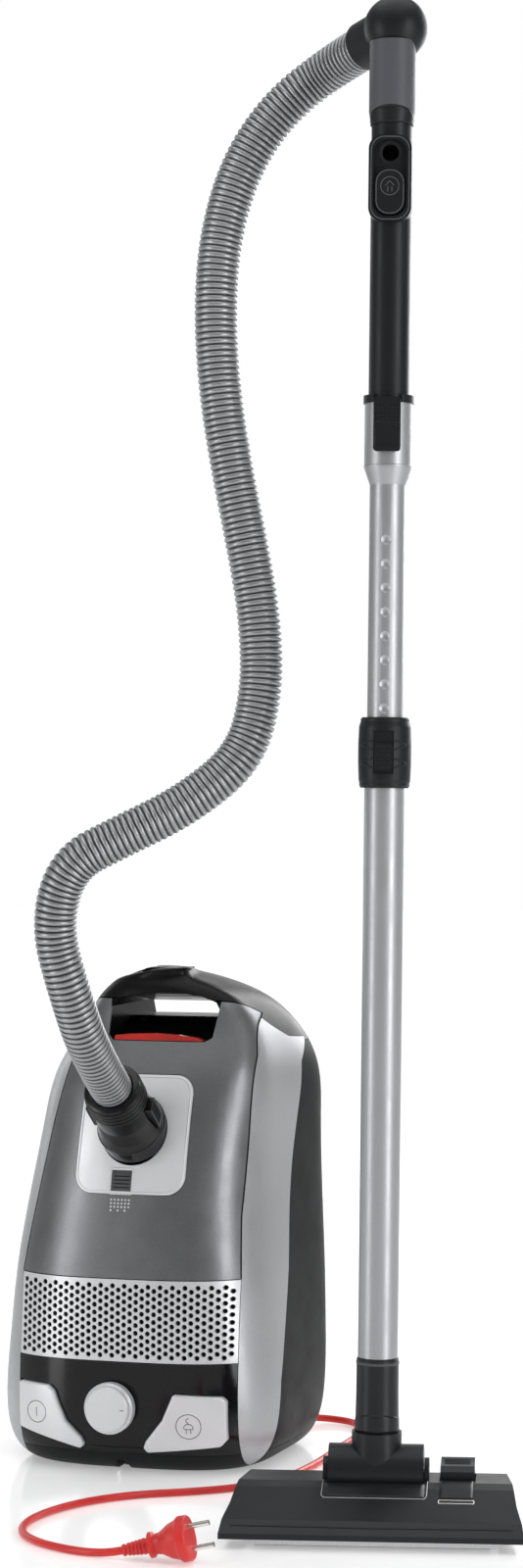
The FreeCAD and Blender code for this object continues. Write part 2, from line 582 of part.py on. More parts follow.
def cord_and_plug(parts):
    parts["cord_outlet"] = cyl(6.5, 18, OUTLET - V(0, 18, 0), V(0, 1, 0))
    axis = plug_axis()
    corners = [OUTLET, V(70, 146, 11), V(78, 176, 7.5), V(108, 196, 4.4), V(143, 184, 3.8), V(160, 150, 3.7),
               V(164, 106, 3.7), V(162, 56, 3.7), V(162.5, 6, 3.7), V(161, -46, 3.7), V(153, -102, 3.7),
               V(127, -155, 3.7),
               V(86, -189, 3.7), V(42, -215, 3.7), V(10, -252, 3.7), V(-9, -299, 3.7), V(-15, -348, 3.7),
               V(-5, -392, 3.7), V(22, -424, 3.7), V(56, -443, 3.7), V(79, -449.5, 3.7),
               PLUG_TAIL - axis * 12.3, PLUG_TAIL]
    parts["mains_cord"] = swept("mains_cord", corners, CORD_R)
    relief = [(0, 0), (5.2, 0), (5.2, 2), (4.2, 3)]
    for ring in range(5):
        z = 4 + ring * 3.4
        relief += [(4.3 + 0.35 * ring, z), (5.6 + 0.35 * ring, z + 0.6), (5.6 + 0.35 * ring, z + 2.0)]
    relief += [(6.2, 22), (11, 24), (11, 27), (8.5, 29), (9.5, 34), (14.5, 42), (17, 49), (19.5, 52),
               (19.5, 58.5), (18.5, 60), (0, 60)]
    body = spun(relief, PLUG_TAIL, axis)
    parts["plug_body"] = body
    face = PLUG_TAIL + axis * 60
    up = V(0, 0, 1) - axis * axis.z
    up.normalize()
    pins = []
    for side in (-1, 1):
        at = face + up * (9.5 * side)
        pins.append(cyl(2.4, 19, at, axis))
    parts["plug_pins"] = Part.makeCompound(pins)


def main():
    parts = {}
    outer, inner = canister_shells(parts)
    controls(parts, outer)
    insides(parts, inner)
    running_gear(parts)
    hose_parts(parts)
    wand(parts)
    nozzle(parts)
    cord_and_plug(parts)
    os.makedirs("parts", exist_ok=True)
    for name, shape in parts.items():
        print("%-18s valid %s solids %d volume %.1f cm3" % (
            name, shape.isValid(), len(shape.Solids), shape.Volume / 1000))
        shape.exportStep("parts/%s.step" % name)
    print(len(parts), "nodes")


main()
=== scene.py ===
import json
import math
import random

import bmesh
import bpy
from mathutils import Matrix, Vector
from mathutils.bvhtree import BVHTree

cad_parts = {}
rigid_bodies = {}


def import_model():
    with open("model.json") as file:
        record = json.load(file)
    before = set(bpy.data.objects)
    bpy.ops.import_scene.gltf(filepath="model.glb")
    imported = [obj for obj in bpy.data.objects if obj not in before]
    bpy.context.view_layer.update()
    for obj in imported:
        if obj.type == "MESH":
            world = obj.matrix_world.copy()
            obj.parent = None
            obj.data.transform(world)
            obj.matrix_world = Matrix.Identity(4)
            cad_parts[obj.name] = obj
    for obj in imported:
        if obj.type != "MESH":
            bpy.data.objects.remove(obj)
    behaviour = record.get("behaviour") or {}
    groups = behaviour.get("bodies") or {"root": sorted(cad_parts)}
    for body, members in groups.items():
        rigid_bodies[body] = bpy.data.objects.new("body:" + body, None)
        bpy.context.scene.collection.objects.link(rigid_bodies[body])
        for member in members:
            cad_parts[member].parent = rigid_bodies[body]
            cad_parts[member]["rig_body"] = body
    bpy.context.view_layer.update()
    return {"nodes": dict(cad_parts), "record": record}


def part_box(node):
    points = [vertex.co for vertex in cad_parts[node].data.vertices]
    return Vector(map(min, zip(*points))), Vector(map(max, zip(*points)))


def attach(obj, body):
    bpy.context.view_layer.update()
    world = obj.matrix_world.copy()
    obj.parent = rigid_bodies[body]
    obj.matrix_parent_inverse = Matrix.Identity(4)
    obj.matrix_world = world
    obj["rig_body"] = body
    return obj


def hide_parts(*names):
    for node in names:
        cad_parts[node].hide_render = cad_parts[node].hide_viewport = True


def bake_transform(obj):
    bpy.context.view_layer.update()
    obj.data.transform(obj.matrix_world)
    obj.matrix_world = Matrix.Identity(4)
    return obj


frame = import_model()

# Looks of a canister vacuum cleaner parked beside its wand, built on the CAD frame. Places are in
# metres; sizes of details are in millimetres and turned into metres by MM where they are used.
MM = 0.001

NODES = frame["nodes"]
V = Vector

# ---- camera and studio ---------------------------------------------------------------------------
CAMERA_AT = (1.0655, -3.1668, 0.660)    # metres
CAMERA_TURN = math.radians(17)
CAMERA_LENS = 77.6                      # millimetres
SENSOR_WIDTH = 36.0                     # millimetres
VIEW_DEPTH = 60                         # metres
DIM_WORLD = 0.30                        # the world's strength away from the backdrop
BACKDROP_FADE = (0.86, 0.955)           # cosines of the angles off the camera's heading, dim and bright
FLOOR_HALF = 14                         # metres
FLOOR_GLOW = 0.30
LIGHTS = (
    # name, place, aim, width and height in metres, watts
    ("right_box", (2.35, -1.25, 0.95), (0.1, -0.1, 0.7), (0.7, 2.2), 34),
    ("left_box", (-1.75, -2.05, 0.95), (0.1, -0.1, 0.7), (0.55, 2.2), 24),
    ("top", (0.1, -0.3, 3.2), (0.1, -0.1, 0.3), (3.0, 3.0), 44),
    ("back_box", (1.0, 2.7, 1.7), (0.1, 0, 0.4), (2.0, 2.0), 55),
    ("back_left_box", (-2.4, 1.2, 1.3), (0.1, 0, 0.4), (1.0, 1.8), 9),
)


def make_camera():
    data = bpy.data.cameras.new("camera")
    data.lens = CAMERA_LENS
    data.sensor_width = SENSOR_WIDTH
    data.clip_end = VIEW_DEPTH
    camera = bpy.data.objects.new("camera", data)
    bpy.context.scene.collection.objects.link(camera)
    camera.location = CAMERA_AT
    camera.rotation_euler = (math.radians(90), 0, CAMERA_TURN)
    bpy.context.scene.camera = camera


make_camera()
bpy.context.scene.view_settings.view_transform = "Standard"


# ---- routes of hose and cord, metres -------------------------------------------------------------
FOOT = V((0.286, -0.268, 0))            # where the floor nozzle stands
LEAN_AT = V((0, 0, 0.051))              # the wand leans about this point over the foot
NOZZLE_FRAME = Matrix.Translation(FOOT) @ Matrix.Rotation(math.radians(12), 4, "Z")
WAND_FRAME = (NOZZLE_FRAME @ Matrix.Translation(LEAN_AT)
              @ Matrix.Rotation(math.radians(0.66), 4, "Y") @ Matrix.Translation(-LEAN_AT))
CUFF_AT = V((-0.006, -0.088, 0.330))
CUFF_WAY = V((0, -math.cos(math.radians(35)), math.sin(math.radians(35))))
WAND_WAY = WAND_FRAME.to_3x3() @ V((0, 0, 1))
WAND_FRONT = WAND_FRAME.to_3x3() @ V((0, -1, 0))
BALL = WAND_FRAME @ V((0.002, 0.008, 1.332))
BALL_WAY = V((-0.765, 0.624, -0.160)).normalized()
BALL_REACH = 0.046                      # from the ball's middle to the hose's end
CUFF_REACH = 0.070                      # from the cuff's foot to its mouth
HOSE_END = BALL + BALL_WAY * BALL_REACH
HOSE_CORNERS = [
    CUFF_AT + CUFF_WAY * CUFF_REACH, V((-0.006, -0.208, 0.410)), V((-0.010, -0.250, 0.466)),
    V((-0.022, -0.268, 0.530)), V((-0.005, -0.271, 0.587)), V((0.042, -0.258, 0.612)),
    V((0.096, -0.236, 0.640)), V((0.146, -0.212, 0.684)), V((0.160, -0.203, 0.745)),
    V((0.158, -0.203, 0.812)), V((0.147, -0.207, 0.880)), V((0.134, -0.213, 0.950)),
    V((0.124, -0.218, 1.020)), V((0.120, -0.220, 1.090)), V((0.124, -0.218, 1.160)),
    V((0.142, -0.212, 1.226)), V((0.178, -0.204, 1.280)), BALL + BALL_WAY * (2 * BALL_REACH), HOSE_END]
HOSE_CUTS = (0, 6, 10, 14, len(HOSE_CORNERS))    # first corner of each length, and the end
HOSE_LENGTHS = (0.353, 0.265, 0.282, 0.276)
HOSE_SIDES = 36
HOSE_GROOVE = 0.0176                    # radius in the grooves
RIB_RISE = 0.0023                       # what a crest adds to it
RIB_PITCH = 0.0056
RIB_ROUND = 0.55                        # under 1 broadens the crests
POINTS_PER_RIB = 8

PLUG_TILT = math.radians(13)
PLUG_YAW = math.radians(5)
PLUG_WAY = V((math.cos(PLUG_TILT) * math.cos(PLUG_YAW), math.cos(PLUG_TILT) * math.sin(PLUG_YAW),
              math.sin(PLUG_TILT)))
PLUG_TAIL = V((0.112, -0.450, 0.0078))
PLUG_RUN = 0.0123                       # the cord's straight end before the plug
OUTLET = V((0.070, 0.122, 0.011))
CORD_RADIUS = 0.0035
CORD_LIE = 0.0037                       # height of the cord's middle where it lies on the floor
CORD_CORNERS = [
    OUTLET, V((0.070, 0.146, 0.011)), V((0.078, 0.176, 0.0075)), V((0.108, 0.196, 0.0044)),
    V((0.143, 0.184, 0.0038)), V((0.160, 0.150, CORD_LIE)), V((0.164, 0.106, CORD_LIE)),
    V((0.162, 0.056, CORD_LIE)), V((0.1625, 0.006, CORD_LIE)), V((0.161, -0.046, CORD_LIE)),
    V((0.153, -0.102, CORD_LIE)), V((0.127, -0.155, CORD_LIE)), V((0.086, -0.189, CORD_LIE)),
    V((0.042, -0.215, CORD_LIE)), V((0.010, -0.252, CORD_LIE)), V((-0.009, -0.299, CORD_LIE)),
    V((-0.015, -0.348, CORD_LIE)), V((-0.005, -0.392, CORD_LIE)), V((0.022, -0.424, CORD_LIE)),
    V((0.056, -0.443, CORD_LIE)), V((0.079, -0.4495, CORD_LIE)), PLUG_TAIL - PLUG_WAY * PLUG_RUN, PLUG_TAIL]


# ---- material building ---------------------------------------------------------------------------
class Nodes:
    """A material's node tree with a few shortcuts."""

    def __init__(self, name):
        self.material = bpy.data.materials.new(name)
        self.material.use_nodes = True
        self.tree = self.material.node_tree
        self.shader = self.tree.nodes["Principled BSDF"]
        self.place = self.add("ShaderNodeTexCoord").outputs["Object"]

    def add(self, kind, **inputs):
        node = self.tree.nodes.new(kind)
        for key, value in inputs.items():
            key = key.replace("_", " ")
            if isinstance(value, bpy.types.NodeSocket):
                self.link(value, node.inputs[key])
            else:
                node.inputs[key].default_value = value
        return node

    def link(self, source, target):
        self.tree.links.new(source, target)

    def put(self, key, value):
        socket = self.shader.inputs[key]
        if isinstance(value, bpy.types.NodeSocket):
            self.link(value, socket)
        else:
            socket.default_value = value

    def stretched(self, scale):
        """Object coordinates scaled differently along each axis."""
        node = self.add("ShaderNodeMapping", Vector=self.place)
        node.inputs["Scale"].default_value = scale
        return node.outputs["Vector"]

    def noise(self, scale, detail=3.0, rough=0.55, at=None):
        node = self.add("ShaderNodeTexNoise", Vector=at or self.place, Scale=scale, Detail=detail,
                        Roughness=rough)
        return node.outputs["Fac"]

    def cells(self, scale):
        return self.add("ShaderNodeTexVoronoi", Vector=self.place, Scale=scale)

    def span(self, value, low, high, from_low=0.3, from_high=0.7):
        node = self.add("ShaderNodeMapRange", Value=value)
        node.inputs["From Min"].default_value = from_low
        node.inputs["From Max"].default_value = from_high
        node.inputs["To Min"].default_value = low
        node.inputs["To Max"].default_value = high
        return node.outputs["Result"]

    def mix(self, factor, first, second):
        node = self.tree.nodes.new("ShaderNodeMix")
        node.data_type = "RGBA"
        for key, value in (("Factor", factor), ("A", first), ("B", second)):
            socket = [s for s in node.inputs if s.name == key and s.enabled][0]
            if isinstance(value, bpy.types.NodeSocket):
                self.link(value, socket)
            elif key == "Factor":
                socket.default_value = value
            else:
                socket.default_value = (*value, 1)
        return [s for s in node.outputs if s.enabled][0]

    def math(self, kind, first, second):
        node = self.tree.nodes.new("ShaderNodeMath")
        node.operation = kind
        for socket, value in zip(node.inputs, (first, second)):
            if isinstance(value, bpy.types.NodeSocket):
                self.link(value, socket)
            else:
                socket.default_value = value
        return node.outputs[0]

    def bump(self, height, distance, strength=1.0, after=None):
        node = self.add("ShaderNodeBump", Height=height)
        node.inputs["Strength"].default_value = strength
        node.inputs["Distance"].default_value = distance
        if after:
            self.link(after, node.inputs["Normal"])
        return node.outputs["Normal"]


def shade(colour, amount):
    """The colour made darker or lighter by a factor."""
    return tuple(min(1.0, max(0.0, c * amount)) for c in colour)


def lacquer(name, colour, metallic, rough, coat, flake):
    """Metallic paint: fine flakes, faint orange peel and slight handling marks."""
    n = Nodes(name)
    flakes = n.cells(2600).outputs["Color"]
    split = n.add("ShaderNodeSeparateColor", Color=flakes).outputs[0]
    fleck = n.span(split, 0.0, 1.0, 0.0, 1.0)
    body = n.mix(fleck, shade(colour, 1 - flake), shade(colour, 1 + flake))
    cloud = n.span(n.noise(9.0), 0.0, 1.0)
    n.put("Base Color", n.mix(n.math("MULTIPLY", cloud, 0.12), body, shade(colour, 0.8)))
    smear = n.noise(38.0, 4.0)
    n.put("Roughness", n.span(smear, rough - 0.04, rough + 0.05))
    n.put("Metallic", metallic)
    n.put("Coat Weight", coat)
    n.put("Coat Roughness", 0.12)
    peel = n.bump(n.noise(420.0, 2.0), 0.00006, 0.35)
    n.put("Normal", n.bump(split, 0.00002, 0.25, peel))
    return n.material


def plastic(name, colour, rough, grain, depth=0.00008, spread=0.12, specular=0.5):
    """Moulded plastic: spark-eroded grain, slow tone changes, worn patches a little glossier."""
    n = Nodes(name)
    slow = n.span(n.noise(7.0, 4.0), 0.0, 1.0)
    fine = n.span(n.noise(grain * 0.3, 2.0), 0.0, 1.0)
    tone = n.math("ADD", n.math("MULTIPLY", slow, 0.6), n.math("MULTIPLY", fine, 0.4))
    n.put("Base Color", n.mix(tone, shade(colour, 1 - spread), shade(colour, 1 + spread)))
    wear = n.noise(24.0, 5.0, 0.6)
    n.put("Roughness", n.span(wear, max(0.03, rough - 0.06), rough + 0.06))
    n.put("Specular IOR Level", specular)
    leather = n.bump(n.cells(grain).outputs["Distance"], depth, 0.5)
    n.put("Normal", n.bump(n.noise(grain * 0.5, 3.0), depth, 0.5, leather))
    return n.material


def polish(name, colour, rough):
    """Glossy plastic: mirror-like with faint ripple, hairlines and dust."""
    n = Nodes(name)
    dust = n.span(n.noise(900.0, 2.0), 0.0, 1.0, 0.66, 0.74)
    n.put("Base Color", n.mix(n.math("MULTIPLY", dust, 0.05), colour, (0.35, 0.35, 0.35)))
    hair = n.noise(60.0, 6.0, 0.7, n.stretched((1.0, 1.0, 9.0)))
    n.put("Roughness", n.span(hair, rough - 0.03, rough + 0.06))
    n.put("Specular IOR Level", 0.26)
    n.put("Normal", n.bump(n.noise(45.0, 2.0), 0.0002, 0.12))
    return n.material


def metal(name, colour, rough, along=(1.0, 1.0, 60.0), lines=0.5):
    """Drawn or ground metal: fine lines across the axis that along stretches."""
    n = Nodes(name)
    streak = n.noise(90.0, 5.0, 0.65, n.stretched(along))
    n.put("Base Color", n.mix(n.span(streak, 0.0, 1.0), shade(colour, 0.88), shade(colour, 1.08)))
    n.put("Roughness", n.span(streak, rough - 0.06, rough + 0.09))
    n.put("Metallic", 1.0)
    n.put("Normal", n.bump(streak, 0.00004, lines))
    return n.material


def sheath(name, colour, rough=0.36):
    """Soft PVC of a cord: slow tone changes, tiny pores, slight waviness."""
    n = Nodes(name)
    slow = n.span(n.noise(30.0, 4.0), 0.0, 1.0)
    n.put("Base Color", n.mix(slow, shade(colour, 0.88), shade(colour, 1.1)))
    n.put("Roughness", n.span(n.noise(120.0, 4.0), rough - 0.05, rough + 0.08))
    n.put("Sheen Weight", 0.05)
    n.put("Subsurface Weight", 0.04)
    n.put("Normal", n.bump(n.noise(1500.0, 3.0), 0.00006, 0.5, n.bump(n.noise(160.0), 0.0002, 0.25)))
    return n.material


def fibre(name, colour, scale, depth=0.0004):
    """Foam, fleece or paper: open matted surface."""
    n = Nodes(name)
    matted = n.noise(scale, 6.0, 0.7)
    n.put("Base Color", n.mix(n.span(matted, 0.0, 1.0), shade(colour, 0.72), shade(colour, 1.05)))
    n.put("Roughness", n.span(matted, 0.82, 0.98))
    n.put("Sheen Weight", 0.25)
    pores = n.bump(n.cells(scale * 0.8).outputs["Distance"], depth, 0.6)
    n.put("Normal", n.bump(matted, depth, 0.7, pores))
    return n.material


def hose_skin(name):
    """Metallic ribbed hose: silver crests and dark grooves, by the crest value kept on the mesh."""
    n = Nodes(name)
    rib = n.add("ShaderNodeAttribute")
    rib.attribute_name = "crest"
    crest = rib.outputs["Fac"]
    fleck = n.span(n.noise(700.0, 3.0), 0.0, 1.0)
    silver = n.mix(fleck, (0.27, 0.274, 0.285), (0.36, 0.366, 0.38))
    groove = n.mix(fleck, (0.012, 0.013, 0.015), (0.022, 0.023, 0.026))
    n.put("Base Color", n.mix(n.span(crest, 0.0, 1.0, 0.50, 0.86), groove, silver))
    n.put("Roughness", n.span(n.noise(50.0, 4.0), 0.34, 0.44))
    n.put("Metallic", n.span(crest, 0.1, 0.8, 0.5, 0.86))
    n.put("Normal", n.bump(n.noise(900.0, 3.0), 0.00005, 0.4))
    return n.material


def glassy(name, colour, rough, clear):
    """Tinted translucent plastic with moulding flow."""
    n = Nodes(name)
    flow = n.span(n.noise(26.0, 4.0, 0.6, n.stretched((1.0, 1.0, 4.0))), 0.0, 1.0)
    n.put("Base Color", n.mix(flow, shade(colour, 0.75), shade(colour, 1.2)))
    n.put("Roughness", n.span(n.noise(70.0), rough - 0.03, rough + 0.05))
    n.put("Transmission Weight", clear)
    n.put("Coat Weight", 0.7)
    n.put("Coat Roughness", 0.03)
    n.put("Normal", n.bump(n.noise(60.0, 2.0), 0.0001, 0.2))
    return n.material


SKIN_RECIPES = {
    # slot: maker, then colour and whatever else the maker takes after the name
    "lid_graphite": (lacquer, (0.165, 0.168, 0.176), 0.74, 0.36, 0.12, 0.14),
    "trim_silver": (lacquer, (0.40, 0.406, 0.422), 0.74, 0.42, 0.08, 0.09),
    "plate_silver": (lacquer, (0.66, 0.67, 0.69), 0.25, 0.38, 0.15, 0.04),
    "grille_silver": (lacquer, (0.60, 0.61, 0.63), 0.35, 0.38, 0.1, 0.05),
    "panel_black": (polish, (0.004, 0.004, 0.005), 0.13),
    "housing_black": (plastic, (0.0055, 0.006, 0.007), 0.50, 1500.0, 0.00006, 0.15, 0.16),
    "latch_red": (glassy, (0.52, 0.016, 0.008), 0.12, 0.25),
    "window_smoke": (glassy, (0.10, 0.105, 0.11), 0.16, 0.3),
    "seal_rubber": (plastic, (0.008, 0.008, 0.009), 0.62, 1200.0, 0.0001, 0.15, 0.2),
    "inner_grey": (plastic, (0.13, 0.135, 0.145), 0.5, 1300.0),
    "motor_steel": (metal, (0.42, 0.42, 0.44), 0.34),
    "filter_foam": (fibre, (0.62, 0.64, 0.67), 650.0),
    "carbon_foam": (fibre, (0.016, 0.016, 0.018), 650.0),
    "bag_paper": (fibre, (0.74, 0.71, 0.64), 1100.0, 0.0003),
    "wheel_rubber": (plastic, (0.010, 0.010, 0.011), 0.60, 900.0, 0.00012, 0.15, 0.22),
    "axle_steel": (metal, (0.50, 0.50, 0.52), 0.26, (60.0, 1.0, 1.0)),
    "cord_red": (sheath, (0.60, 0.016, 0.012)),
    "plug_red": (sheath, (0.58, 0.015, 0.012), 0.42),
    "pin_nickel": (metal, (0.72, 0.70, 0.66), 0.16, (40.0, 1.0, 1.0), 0.2),
    "hose_silver": (hose_skin,),
    "cuff_black": (plastic, (0.0035, 0.0035, 0.004), 0.22, 1400.0, 0.00003, 0.15, 0.35),
    "tube_silver": (lacquer, (0.36, 0.366, 0.380), 0.70, 0.40, 0.0, 0.04),
    "handle_anthracite": (plastic, (0.0075, 0.0082, 0.0098), 0.42, 1600.0, 0.00005, 0.15, 0.22),
    "neck_grey": (plastic, (0.070, 0.075, 0.083), 0.48, 1600.0, 0.00006, 0.1, 0.25),
    "nozzle_black": (plastic, (0.0095, 0.0105, 0.0125), 0.38, 1500.0, 0.00004, 0.15, 0.28),
    "bristle": (fibre, (0.03, 0.03, 0.03), 1500.0),
    "sole_steel": (metal, (0.55, 0.55, 0.56), 0.3, (60.0, 1.0, 1.0)),
}
SKINS = {name: make(name, *values) for name, (make, *values) in SKIN_RECIPES.items()}

ARCH_SKIN = plastic("arch_black", (0.0045, 0.0045, 0.005), 0.30, 900.0, 0.00001, 0.15, 0.12)
SLOT_OF = {part["node"]: part["material_slot"] for part in frame["record"]["subparts"]}
for node_name, obj in NODES.items():
    obj.data.materials.clear()
    obj.data.materials.append(ARCH_SKIN if node_name == "carry_handle" else SKINS[SLOT_OF[node_name]])


# ---- mesh helpers --------------------------------------------------------------------------------
def new_piece(name, mesh, skin, body=None):
    """Object in the scene with its skin and slot, riding on a body if one is given."""
    piece = bpy.data.objects.new(name, mesh)
    bpy.context.scene.collection.objects.link(piece)
    mesh.materials.clear()
    mesh.materials.append(SKINS[skin])
    if body:
        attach(piece, body)
    return piece


def mesh_from(name, points, faces, smooth=True):
    mesh = bpy.data.meshes.new(name)
    mesh.from_pydata([tuple(p) for p in points], [], faces)
    mesh.update()
    if smooth:
        mesh.shade_smooth()
    return mesh


def quadratic_curve(name, corners, resolution):
    """Curve that starts and ends on its outer corners and is drawn towards those between."""
    data = bpy.data.curves.new(name, "CURVE")
    data.dimensions = "3D"
    data.resolution_u = resolution
    spline = data.splines.new("NURBS")
    spline.points.add(len(corners) - 1)
    for point, corner in zip(spline.points, corners):
        point.co = (*corner, 1)
    spline.order_u = 3
    spline.use_endpoint_u = True
    return data


def curve_line(corners):
    """Points along such a curve, close together."""
    data = quadratic_curve("line", corners, 24)
    obj = bpy.data.objects.new("line", data)
    mesh = bpy.data.meshes.new_from_object(obj)
    line = [vertex.co.copy() for vertex in mesh.vertices]
    bpy.data.objects.remove(obj)
    bpy.data.curves.remove(data)
    bpy.data.meshes.remove(mesh)
    return line


def resampled(line, step):
    """The same line with points an even distance apart."""
    out = [line[0]]
    need = step
    for a, b in zip(line, line[1:]):
        run = (b - a).length
        at = 0.0
        while run - at >= need:
            at += need
            out.append(a.lerp(b, at / run))
            need = step
        need -= run - at
    if (line[-1] - out[-1]).length > step * 0.3:
        out.append(line[-1])
    else:
        out[-1] = line[-1]
    return out


def join_rings(faces, first, rings, sides):
    """Quads between rings of points, one ring after another from the point numbered first."""
    for ring in range(rings - 1):
        for k in range(sides):
            a = first + ring * sides + k
            b = first + ring * sides + (k + 1) % sides
            faces.append((a, b, b + sides, a + sides))


def tube_mesh(name, line, radius_at, crest_at, sides):
    """Tube along a line; radius_at(distance) is its radius, crest_at(distance) is kept per point."""
    points, faces, crests = [], [], []
    normal = (line[1] - line[0]).orthogonal().normalized()
    travelled = 0.0
    for i, at in enumerate(line):
        if i:
            travelled += (at - line[i - 1]).length
        way = (line[min(i + 1, len(line) - 1)] - line[max(i - 1, 0)]).normalized()
        normal = (normal - way * normal.dot(way)).normalized()
        side = way.cross(normal)
        radius = radius_at(travelled)
        for k in range(sides):
            turn = 2 * math.pi * k / sides
            points.append(at + (normal * math.cos(turn) + side * math.sin(turn)) * radius)
            crests.append(crest_at(travelled))
    join_rings(faces, 0, len(line), sides)
    mesh = mesh_from(name, points, faces)
    layer = mesh.attributes.new("crest", "FLOAT", "POINT")
    layer.data.foreach_set("value", crests)
    return mesh


# ---- hose ----------------------------------------------------------------------------------------
def rib_wave(distance):
    """0 in the groove, 1 on the rounded crest."""
    phase = (distance / RIB_PITCH) % 1.0
    return max(0.0, math.sin(math.pi * phase)) ** RIB_ROUND


def make_hose():
    """Four lengths with their ribs in step, each a ribbed tube along its stretch of the curved route."""
    travelled = 0.0
    opening = []
    last = len(HOSE_LENGTHS) - 1
    for number in range(len(HOSE_LENGTHS)):
        name = "hose_%d" % (number + 1)
        corners = opening + HOSE_CORNERS[HOSE_CUTS[number]:HOSE_CUTS[number + 1]]
        if number < last:
            middle = (corners[-1] + HOSE_CORNERS[HOSE_CUTS[number + 1]]) * 0.5
            corners.append(middle)
            opening = [middle]
        line = resampled(curve_line(corners), RIB_PITCH / POINTS_PER_RIB)
        start = travelled
        mesh = tube_mesh(name + "_ribbed", line,
                         lambda d: HOSE_GROOVE + RIB_RISE * rib_wave(d + start),
                         lambda d: rib_wave(d + start), HOSE_SIDES)
        travelled += sum((b - a).length for a, b in zip(line, line[1:]))
        piece = new_piece(name + "_ribbed", mesh, "hose_silver")
        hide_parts(name)
        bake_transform(piece)


make_hose()


# ---- mains cord ----------------------------------------------------------------------------------
def make_cord():
    data = quadratic_curve("mains_lead", CORD_CORNERS, 16)
    data.bevel_depth = CORD_RADIUS
    data.bevel_resolution = 6
    data.use_fill_caps = True
    lead = bpy.data.objects.new("mains_lead", data)
    bpy.context.scene.collection.objects.link(lead)
    data.materials.append(SKINS["cord_red"])
    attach(lead, "canister")
    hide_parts("mains_cord")


make_cord()


# ---- finding the CAD surfaces and dressing them --------------------------------------------------
# a side is the start of a ray over (u, v) in metres and the way the ray goes
FRONT = (lambda u, v: (u, -1, v), V((0, 1, 0)))
BACK = (lambda u, v: (u, 1, v), V((0, -1, 0)))
TOP = (lambda u, v: (u, v, 1), V((0, 0, -1)))
LEFT = (lambda u, v: (-1, u, v), V((1, 0, 0)))
RIGHT = (lambda u, v: (1, u, v), V((-1, 0, 0)))


class Surface:
    """A CAD node's outside, addressed in millimetres as seen from one side of a local frame."""

    def __init__(self, node, side=FRONT, frame_at=None):
        mesh = NODES[node].data
        self.body = NODES[node]["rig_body"]
        self.tree = BVHTree.FromPolygons([v.co for v in mesh.vertices], [p.vertices for p in mesh.polygons])
        self.start, way = side
        self.frame = frame_at or Matrix.Identity(4)
        self.way = self.frame.to_3x3() @ way

    def at(self, u, v):
        """Place and outward normal over (u, v), or None beside the node."""
        origin = self.frame @ V(self.start(u * MM, v * MM))
        place, normal, _, _ = self.tree.ray_cast(origin, self.way)
        if place is None:
            return None
        return place, normal if normal.dot(self.way) < 0 else -normal


def circle(u, v, radius, steps=40):
    """Closed path round (u, v)."""
    turns = [2 * math.pi * i / steps for i in range(steps + 1)]
    return [(u + radius * math.cos(t), v + radius * math.sin(t)) for t in turns]


def soft_rectangle(u0, u1, v0, v1, radius, steps=6):
    """Closed path round a rectangle with rounded corners."""
    points = []
    for cu, cv, first in ((u1 - radius, v1 - radius, 0), (u0 + radius, v1 - radius, 1),
                          (u0 + radius, v0 + radius, 2), (u1 - radius, v0 + radius, 3)):
        for i in range(steps + 1):
            turn = math.pi / 2 * (first + i / steps)
            points.append((cu + radius * math.cos(turn), cv + radius * math.sin(turn)))
    return points + points[:1]


def dense(path, step):
    """The same path with points no further apart than step."""
    out = [path[0]]
    for (u0, v0), (u1, v1) in zip(path, path[1:]):
        pieces = max(1, math.ceil(math.hypot(u1 - u0, v1 - v0) / step))
        out += [(u0 + (u1 - u0) * k / pieces, v0 + (v1 - v0) * k / pieces) for k in range(1, pieces + 1)]
    return out


def bead_rows(hits, width, height, points, faces, sides=8):
    """One rounded bead along surface hits, closed at both ends."""
    first = len(points)
    last = len(hits) - 1
    for i, (place, normal) in enumerate(hits):
        way = (hits[min(i + 1, last)][0] - hits[max(i - 1, 0)][0]).normalized()
        side = way.cross(normal).normalized()
        taper = 0.35 if i in (0, last) else 1.0
        for k in range(sides):
            turn = 2 * math.pi * k / sides
            reach = width * taper * math.cos(turn)
            rise = height * taper * math.sin(turn)
            points.append(place + side * reach + normal * rise)
    join_rings(faces, first, len(hits), sides)
    faces.append(tuple(first + k for k in reversed(range(sides))))
    faces.append(tuple(first + last * sides + k for k in range(sides)))


def relief(name, surface, paths, width, skin, height=None, step=1.5):
    """Raised lines that follow a CAD surface; widths and heights are half the bead's, in millimetres."""
    points, faces = [], []
    for path in paths:
        hits = [surface.at(u, v) for u, v in dense(path, step)]
        hits = [hit for hit in hits if hit]
        if len(hits) > 1:
            bead_rows(hits, width * MM, (height or width * 0.6) * MM, points, faces)
    new_piece(name, mesh_from(name, points, faces), skin, surface.body)


def domes(name, surface, spots, radius, height, skin, sides=12):
    """Small domed dots standing on a CAD surface."""
    rings = ((1.0, -0.4), (1.0, 0.3), (0.62, 0.85))    # reach and lift of each ring, from the foot up
    points, faces = [], []
    for u, v in spots:
        hit = surface.at(u, v)
        if not hit:
            continue
        place, normal = hit
        side = normal.orthogonal().normalized()
        other = normal.cross(side)
        first = len(points)
        for reach, lift in rings:
            for k in range(sides):
                turn = 2 * math.pi * k / sides
                outward = side * math.cos(turn) + other * math.sin(turn)
                points.append(place + outward * (radius * reach * MM) + normal * (height * lift * MM))
        points.append(place + normal * (height * MM))
        join_rings(faces, first, len(rings), sides)
        for k in range(sides):
            faces.append((first + 2 * sides + k, first + 2 * sides + (k + 1) % sides, len(points) - 1))
        faces.append(tuple(first + k for k in reversed(range(sides))))
    new_piece(name, mesh_from(name, points, faces), skin, surface.body)


